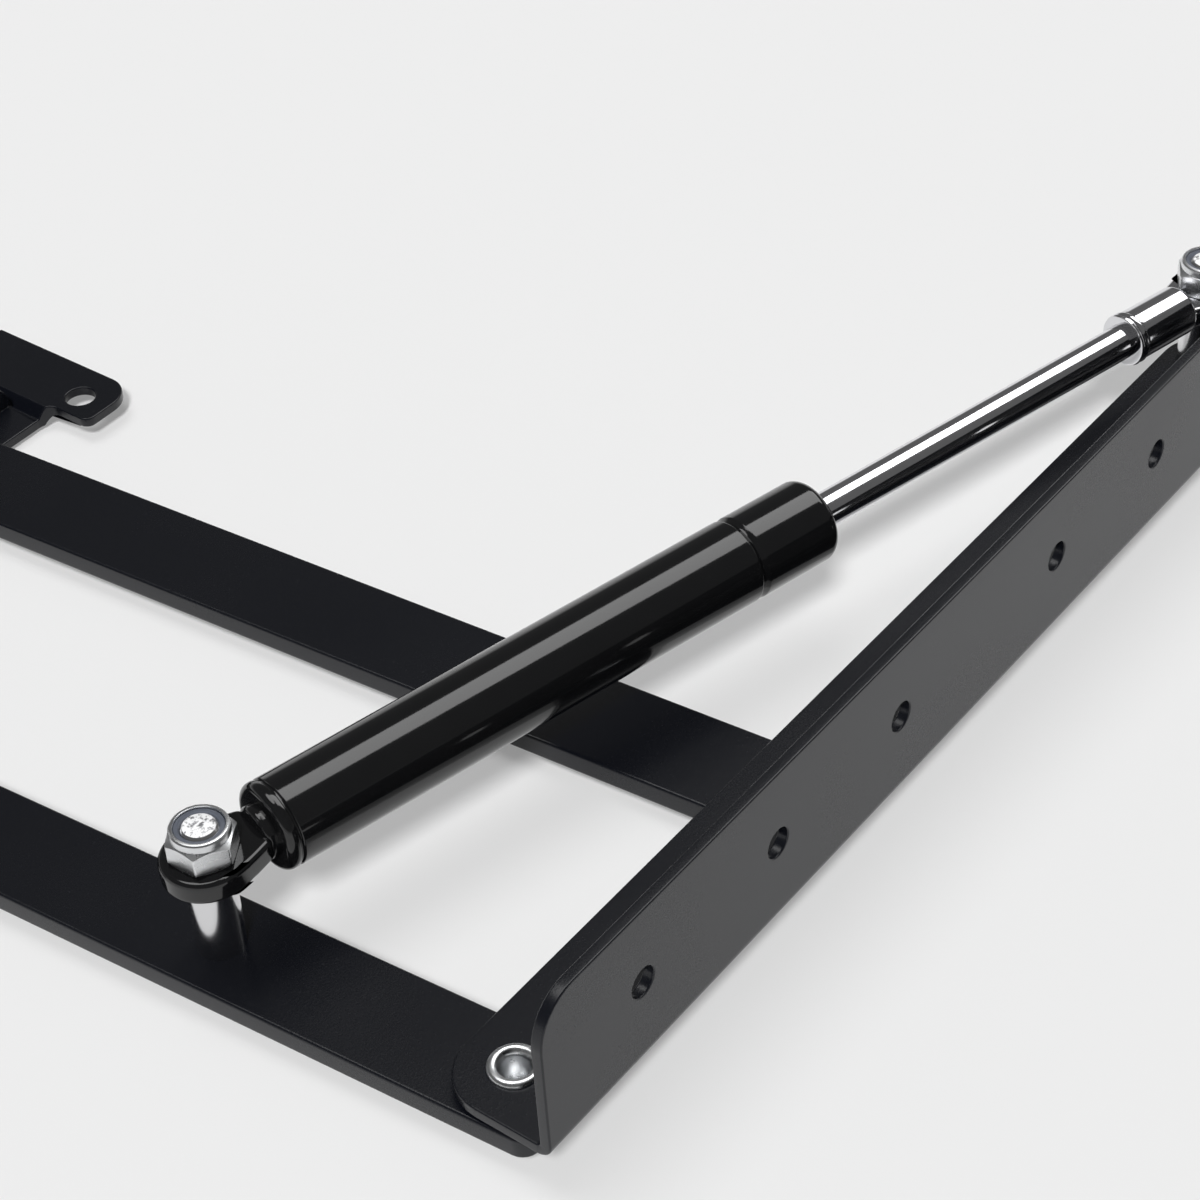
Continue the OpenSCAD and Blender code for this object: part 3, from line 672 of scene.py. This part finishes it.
# %% The top rail's holes
top_middle, SCREW_RISE = (top_low.x + step_left) / 2, 16.5
for screw in SCREWS:
    drill(top_rail, (top_middle + screw, top_high.y, top_low.z + SCREW_RISE), SCREW_HOLE,
          turn=ACROSS)
for pivot in (front_upper, rear_upper):
    drill(top_rail, (pivot.x, pivot.y, top_low.z), RIVET_HOLE)
ear_hole = next(mount for mount in frame["record"]["mounts"] if mount["name"] == "brace_hole")
drill(top_rail, Vector(ear_hole["pos_m"]) / MM, EAR_HOLE)
soften(top_rail, 0.3, highlight_slot=1)
finished(top_rail, "top_rail", "top_rail", powder, edge)

# %% [markdown]
# ## Rivets
# Four hollow rivets carry the arms. Each has a flat factory head, and its hollow end is rolled
# outwards over the sheet into a rim.
# The rim is the bright ring in the photograph, with the drilled bore and its cone inside.

# %% The rivets
PLAIN_WASHER, SLIP_WASHER, PLAY = 1.5, 0.6, 0.1
GRIP = PLAIN_WASHER + PLAY + (ARM_TOP - ARM_UNDER) + PLAY + SLIP_WASHER + SHEET


def arc(radius, height, roll, start, stop, steps=6):
    """Points on a rolled edge, by their angle in degrees."""
    angles = [math.radians(start + (stop - start) * step / steps) for step in range(steps + 1)]
    return [(radius + roll * math.cos(angle), height + roll * math.sin(angle)) for angle in angles]


def rivet(name, at, turn=(0, 0, 0)):
    """A hollow rivet whose head lies under its place and whose rim lies a grip above."""
    head = [(0, -2.0), (5.2, -2.0), (5.75, -1.75), (6.0, -1.3), (6.0, -0.1), (5.9, 0)]
    rim = arc(3.45, GRIP, 0.9, 0, 150, 10)
    bore = [(2.45, GRIP + 0.1), (2.3, GRIP - 0.5), (2.2, GRIP - 6.2)]
    cone = [(0.3, GRIP - 7.4), (0, GRIP - 7.45)]
    profile = [*head, (3.0, 0), (3.0, GRIP), (4.2, GRIP), *rim, *bore, *cone]
    return settle(turned(name, profile, 56), at, turn)


def pair(name, first, second):
    """Joins two copies into one piece."""
    take(first)
    second.select_set(True)
    bpy.ops.object.join()
    first.name = name
    return first


head_under = ARM_UNDER - PLAY - PLAIN_WASHER
base_rivets = pair("base_rivet_pair",
                   rivet("rivet_a", (front_pivot.x, front_pivot.y, head_under)),
                   rivet("rivet_b", (rear_pivot.x, rear_pivot.y, head_under)))
finished(base_rivets, "base", "base_pivot_rivets", zinc)
head_over = ARM_TOP + PLAY + PLAIN_WASHER
UPSIDE_DOWN = (math.pi, 0, 0)
top_rivets = pair("top_rivet_pair",
                  rivet("rivet_c", (front_upper.x, front_upper.y, head_over), UPSIDE_DOWN),
                  rivet("rivet_d", (rear_upper.x, rear_upper.y, head_over), UPSIDE_DOWN))
finished(top_rivets, "top_rail", "top_pivot_rivets", zinc)

# %% [markdown]
# ## Spring studs
# Two turned studs hold the gas spring: each is riveted through its plate at the tail and
# threaded at the tip for its nut.
# The thread is drawn as rings a pitch apart, which is all that shows of it at the nut's mouth.

# %% The studs
EYE_THICK, THREAD_PITCH, STUD_RADIUS = 4.2, 1.0, 4.0
eye_under, eye_top = arm_stud_place.z - EYE_THICK / 2, arm_stud_place.z + EYE_THICK / 2


def thread(low, high):
    """The profile of a thread: a crest and a root for each turn, and a chamfer at the end."""
    turns = int((high - low - 0.6) / THREAD_PITCH)
    points = [(3.0, low), (3.0, low + 0.1)]
    for turn in range(turns):
        start = low + 0.1 + turn * THREAD_PITCH
        points += [(2.62, start + 0.45), (2.62, start + 0.55), (3.0, start + 0.95)]
    return points + [(3.0, high - 0.6), (2.45, high - 0.1), (2.3, high), (0, high)]


def stud_tail(low, high):
    """The peened tail under a plate and the shank through it."""
    tail = [(0, low - 1.2), (3.2, low - 1.2), (3.8, low - 1.0), (4.0, low - 0.6), (4.0, low)]
    return [*tail, (2.75, low), (2.75, high), (STUD_RADIUS, high)]


arm_stud = turned("arm_stud_turned", [
    *stud_tail(ARM_UNDER, ARM_TOP), (STUD_RADIUS, eye_under - 0.5), (3.7, eye_under - 0.1),
    *thread(eye_under - 0.1, TIP_TOP)])
settle(arm_stud, (arm_stud_place.x, arm_stud_place.y, 0))
finished(arm_stud, "front_arm", "arm_stud", stud_chrome)
rail_stud = turned("rail_stud_turned", [
    *stud_tail(rail_low.z, rail_low.z + SHEET), (STUD_RADIUS, eye_under - 0.6),
    (3.7, eye_under - 0.3), (0, eye_under - 0.3)])
settle(rail_stud, (rail_stud_place.x, rail_stud_place.y, 0))
finished(rail_stud, "base", "rail_stud", stud_chrome)
rail_tip = turned("rail_stud_thread", [(0, eye_under), *thread(eye_under, TIP_TOP)])
settle(rail_tip, (rail_stud_place.x, rail_stud_place.y, 0))
finished(rail_tip, "rod", "rail_stud_tip", stud_chrome)

# %% [markdown]
# ## Lock nuts
# A lock nut starts as a hexagon bar that is turned at both ends, which leaves a curved edge on
# each flat.
# The same happens here: a six-sided bar is intersected with a turned body, then joined to the
# round collar that holds the insert.
# The bar is the longer of the two, because end faces in one plane can spoil the intersection.

# %% The nuts
NUT_TURN, HEXAGON_RADIUS, HEXAGON_HEIGHT, BAR_LENGTH = 31.5, 5.7735, 4.2, 5.0


def lock_nut(name, at):
    """A hexagon nut with its turned ends and its round collar."""
    bpy.ops.object.select_all(action="DESELECT")
    bpy.ops.mesh.primitive_cylinder_add(vertices=6, radius=HEXAGON_RADIUS * MM,
                                        depth=BAR_LENGTH * MM,
                                        location=(0, 0, HEXAGON_HEIGHT / 2 * MM))
    nut = take(bpy.context.object)
    nut.name = name
    nut.rotation_euler = (0, 0, math.radians(NUT_TURN + 30))
    bpy.ops.object.transform_apply(location=True, rotation=True, scale=True)
    bpy.ops.object.mode_set(mode="EDIT")
    choose("EDGE", lambda corner: near(corner.z, HEXAGON_HEIGHT / 2))
    bpy.ops.mesh.bevel(offset=0.22 * MM, segments=3, affect="EDGES")
    bpy.ops.object.mode_set(mode="OBJECT")
    for tool, operation, profile in (
            ("ends", "INTERSECT", [(0, 0), (4.9, 0), (5.8, 0.45), (5.8, 3.55), (5.2, 3.98),
                                   (4.9, HEXAGON_HEIGHT), (0, HEXAGON_HEIGHT)]),
            ("collar", "UNION", [(0, 2.0), (4.8, 2.0), (4.8, 5.1), (4.72, 5.4), (4.5, 5.62),
                                 (4.2, 5.7), (0, 5.7)]),
            ("seat", "DIFFERENCE", [(0, HEXAGON_HEIGHT), (3.98, HEXAGON_HEIGHT), (3.98, 5.5),
                                    (4.15, 5.9), (0, 5.9)])):
        combine(nut, turned(tool, profile, 96), operation)
    return settle(drill(nut, (0, 0, 0), 3.03), at)


def nut_insert(name, at):
    """The insert ring in the collar, with its lip rounded."""
    lip = [(3.97, 5.2), (3.85, 5.35), (3.3, 5.4), (3.06, 5.2)]
    return settle(turned(name, [(3.02, HEXAGON_HEIGHT), (3.97, HEXAGON_HEIGHT), *lip]), at)


for place, body, node in ((arm_stud_place, "front_arm", "arm"), (rail_stud_place, "rod", "rail")):
    seat_at = (place.x, place.y, eye_top + 0.1)
    nut = lock_nut(f"{node}_lock_nut", seat_at)
    finished(nut, body, f"{node}_stud_nut", zinc, smooth=30.0)
    ring = nut_insert(f"{node}_nut_ring", seat_at)
    finished(ring, body, f"{node}_nut_insert", nylon)

# %% [markdown]
# ## The gas spring
# The spring is made along X at the origin and then laid on its own line, from the arm's stud to
# the rail's stud.
# Its tube is turned: a rolled shoulder and a fine groove at the eye, a rolled bead that holds
# the rod guide, and a rolled end.

# %% The spring's line
TURN_TO_X = Matrix.Rotation(math.pi / 2, 4, "Y")


def along_spring(piece):
    """Lays a piece that was turned about Z on the spring's line."""
    piece.data.transform(TURN_TO_X)
    return settle(piece, arm_stud_place, (0, 0, SPRING_TURN))


# %% The tube
TUBE_START, BEAD, TUBE_END = 10.4, 106.6, 123.6
groove = [(7.5, 12.35), (7.38, 12.5), (7.1, 12.65), (7.05, 12.8), (7.1, 12.95), (7.38, 13.1),
          (7.5, 13.25)]
bead = [(7.5, BEAD - 1.0), (7.42, BEAD - 0.75), (7.1, BEAD - 0.35), (6.95, BEAD),
        (7.1, BEAD + 0.35), (7.42, BEAD + 0.75), (7.5, BEAD + 1.0)]
mouth = [(3.75, TUBE_END), (3.75, TUBE_END - 1), (6.5, TUBE_END - 1)]
tube = turned("spring_tube_turned", [
    (4.7, TUBE_START), *arc(6.1, TUBE_START + 1.4, 1.4, -90, 0), *groove, *bead,
    *arc(5.5, TUBE_END - 2.0, 2.0, 0, 90), *mouth, (6.5, TUBE_START + 1),
    (4.7, TUBE_START + 1)], 96)
finished(along_spring(tube), "spring_tube", "spring_tube", lacquer)

# %% [markdown]
# The eye that screws into the tube is forged flat: a ring that runs out in round shoulders to a
# turned neck.
# Its outline is drawn as one flat shape whose corners are rounded, pulled up to its thickness,
# and joined to the turned plug.

# %% The tube's eye
def flat_eye(name, radius, waist, stop, half_stop, shoulder):
    """A flat eye along X with its hole.

    It has a half round end at -radius, full width up to the waist, and a taper to the stop.
    """
    half = EYE_THICK / 2
    eye = blank(name, (-radius, -radius), (waist, radius), -half)
    choose("EDGE", lambda at: near(at.x, waist))
    pull(x=stop - waist)
    bpy.ops.transform.resize(value=(1, half_stop / radius, 1), center_override=(0, 0, 0))
    for side in (-1, 1):
        round_corner(-radius, side * radius, -half, radius * 0.995, 16)
        round_corner(waist, side * radius, -half, shoulder, 8)
    bpy.ops.mesh.select_all(action="SELECT")
    bpy.ops.mesh.remove_doubles(threshold=1e-4)
    return soften(drill(raise_block(eye, EYE_THICK), (0, 0, 0), 3.08), 1.0, 5, 30.0)


def plug(name, profile):
    """A turned body along X."""
    body = turned(name, profile)
    body.data.transform(TURN_TO_X)
    return body


eye = flat_eye("tube_eye_forged", 7.2, 2.0, 9.5, 4.6, 3.5)
combine(eye, plug("screw", [(0, 8.6), (3.8, 8.6), (4.35, 8.9), (4.6, 9.4), (4.6, 11.4),
                            (6.48, 11.4), (6.48, 16.4), (0, 16.4)]), "UNION")
settle(eye, arm_stud_place, (0, 0, SPRING_TURN))
finished(eye, "spring_tube", "tube_eye", lacquer)

# %% [markdown]
# The rod is ground and chromed. Its far end screws into an eye fitting, and a lock ring stops
# the two from turning.

# %% The rod, its lock ring and its eye
BARREL_REACH, ROD_REACH = 20.0, 8.3
BARREL, rod_end = SPRING_LENGTH - BARREL_REACH, SPRING_LENGTH - ROD_REACH
rod = turned("rod_ground", [(0, 94.6), (2.66, 94.6), (3.16, 95.6), (2.16, 95.6), (2.16, 103.6),
                            (3.25, 103.6), (3.25, rod_end), (0, rod_end)], 72)
finished(along_spring(rod), "rod", "piston_rod", chrome)
lock_ring = turned("lock_ring_turned", [
    (3.27, BARREL - 2.2), (4.5, BARREL - 2.2), (4.85, BARREL - 2.05), (5.0, BARREL - 1.75),
    (4.88, BARREL - 1.4), (4.5, BARREL - 1.15), (4.88, BARREL - 0.9), (5.0, BARREL - 0.55),
    (4.88, BARREL - 0.2), (4.5, BARREL), (3.27, BARREL)])
finished(along_spring(lock_ring), "rod", "rod_lock_ring", chrome)
rod_eye = flat_eye("rod_eye_forged", 6.3, 1.5, 8.0, 4.3, 2.5)
settle(rod_eye, (0, 0, 0), (0, 0, math.pi))
combine(rod_eye, plug("barrel", [
    (3.27, -BARREL_REACH), (4.35, -BARREL_REACH), (4.65, 0.15 - BARREL_REACH),
    (4.75, 0.5 - BARREL_REACH), (4.75, -7.9), (4.5, -7.2), (3.7, -6.5), (2.6, -6.1), (0, -6.05),
    (0, -ROD_REACH), (3.27, -ROD_REACH)]), "UNION")
settle(rod_eye, rail_stud_place, (0, 0, SPRING_TURN))
finished(rod_eye, "rod", "rod_eye", chrome)

# %% [markdown]
# ## Floor, light and camera
# The part lies on a plain pale floor, which takes its soft shadows.
# The floor also glows a little for the camera and for the metal's mirror rays, which keeps the
# background even and as pale as paper.

# %% The floor
bpy.ops.object.select_all(action="DESELECT")
bpy.ops.mesh.primitive_plane_add(size=60, location=(0, 0, cad_box[0].z - 0.0001))
floor = bpy.context.object
floor.name = "studio_floor"
FLOOR_GLOW, FLOOR_SHARE = (0.87, 0.87, 0.87, 1), 0.3
paper = Finish("studio_paper", Roughness=0.9, Specular_IOR_Level=0.0,
               Base_Color=(0.78, 0.78, 0.78, 1))
path = paper.add("ShaderNodeLightPath")
seen = path
for kind in ("Is Glossy Ray", "Is Transmission Ray"):
    seen = seen.math("MAXIMUM", seen, Wire(paper, path.socket.node.outputs[kind]))
glow = paper.add("ShaderNodeEmission", {}, {"Color": FLOOR_GLOW, "Strength": 1.0})
lit = Wire(paper, paper.shader.outputs[0])
mixed = paper.add("ShaderNodeMixShader", {}, {0: seen * FLOOR_SHARE, 1: lit, 2: glow})
paper.tree.links.new(mixed.socket, paper.tree.nodes["Material Output"].inputs["Surface"])
floor.data.materials.append(paper.material)

# %% [markdown]
# Black gloss shows only what it mirrors, so the lamps are placed by their reflections.
# One long softbox stands over the spring, along it, and makes the band on the tube and the rod.
# The room around it is dark grey, and pale at the horizon.

# %% The softbox
aim = arm_stud_place * MM + spring_axis * 0.06


def way_to(elevation, azimuth):
    """The unit vector towards a place in the sky, by its two angles in degrees."""
    height, way = math.radians(elevation), math.radians(azimuth)
    level = math.cos(height)
    return Vector((level * math.cos(way), level * math.sin(way), math.sin(height)))


def softbox(name, elevation, azimuth, distance, width, length, radiance):
    """A rectangular lamp that faces the spring, its length along it.

    Its power follows from its radiance.
    """
    out = way_to(elevation, azimuth)
    lamp = bpy.data.lights.new(name, "AREA")
    lamp.shape, lamp.size, lamp.size_y = "RECTANGLE", length, width
    lamp.energy = radiance * math.pi * width * length
    holder = bpy.data.objects.new(name, lamp)
    bpy.context.scene.collection.objects.link(holder)
    side = (spring_axis - spring_axis.dot(out) * out).normalized()
    turn = Matrix((side, out.cross(side), out)).transposed()
    holder.matrix_world = Matrix.Translation(aim + out * distance) @ turn.to_4x4()
    holder.visible_diffuse = False


softbox("spring_softbox", 57, -5, 1.2, 0.72, 1.1, 3.5)

# %% [markdown]
# Two suns light the floor. The low one stands behind the camera and puts the spring's shadow
# close under it.
# The high one is very broad and weak, so it only darkens the floor softly where the rail and the
# arms come near it.
# Only the high one shows in the bright metal, as a soft window would.

# %% The suns
def sun(name, elevation, azimuth, energy, spread, mirrored):
    """A far lamp by its direction and its apparent size in degrees.

    mirrored says whether shiny metal shows it.
    """
    lamp = bpy.data.lights.new(name, "SUN")
    lamp.energy, lamp.angle = energy, math.radians(spread)
    holder = bpy.data.objects.new(name, lamp)
    bpy.context.scene.collection.objects.link(holder)
    holder.matrix_world = way_to(elevation, azimuth).to_track_quat("Z", "Y").to_matrix().to_4x4()
    holder.visible_glossy = mirrored


sun("low_sun", 50, -147, 2.9, 10, False)
sun("high_sun", 76, 100, 0.8, 32, True)

# %% The room
world = bpy.data.worlds.new("studio_room")
bpy.context.scene.world = world
world.use_nodes = True
tree = world.node_tree
backdrop = tree.nodes["Background"]
ways = tree.nodes.new("ShaderNodeTexCoord")
split = tree.nodes.new("ShaderNodeSeparateXYZ")
ramp = tree.nodes.new("ShaderNodeValToRGB")
for element, (position, shade) in zip(ramp.color_ramp.elements, [(0.05, 0.87), (0.22, 0.12)]):
    element.position, element.color = position, (shade, shade, shade, 1)
tree.links.new(ways.outputs["Generated"], split.inputs[0])
tree.links.new(split.outputs["Z"], ramp.inputs["Fac"])
tree.links.new(ramp.outputs["Color"], backdrop.inputs["Color"])
backdrop.inputs["Strength"].default_value = 1.0

# %% [markdown]
# The camera stands where the photographer's did, found by fitting a camera to the picture's
# edges and holes.
# It looks along a fixed line with a long lens, so that the near corner isn't stretched.

# %% The camera
camera = bpy.data.cameras.new("photo_camera")
FOCAL_PIXELS, PICTURE_PIXELS, SENSOR = 2837.05, 1200, 36.0
camera.sensor_width, camera.lens = SENSOR, FOCAL_PIXELS / PICTURE_PIXELS * SENSOR
camera.clip_start, camera.clip_end = 0.01, 200.0
eye_point = bpy.data.objects.new("photo_camera", camera)
bpy.context.scene.collection.objects.link(eye_point)
right = Vector((0.60354, -0.79568, -0.05134))
down = Vector((-0.53263, -0.35443, -0.76856))
ahead = Vector((0.59333, 0.4912, -0.63772))
spot = Vector((-0.30657, -0.17434, 0.30003))
axes = Matrix((right, -down, -ahead)).transposed().to_4x4()
eye_point.matrix_world = Matrix.Translation(spot) @ axes
bpy.context.scene.camera = eye_point
bpy.context.scene.view_settings.view_transform = "Standard"
print("camera at", [round(value, 3) for value in spot], "lens", round(camera.lens, 2))

# %% [markdown]
# The dressed part has to stay inside the solids' box, whose corners are printed.

# %% The solids' box
print("cad", [[round(value / MM, 2) for value in corner] for corner in cad_box])
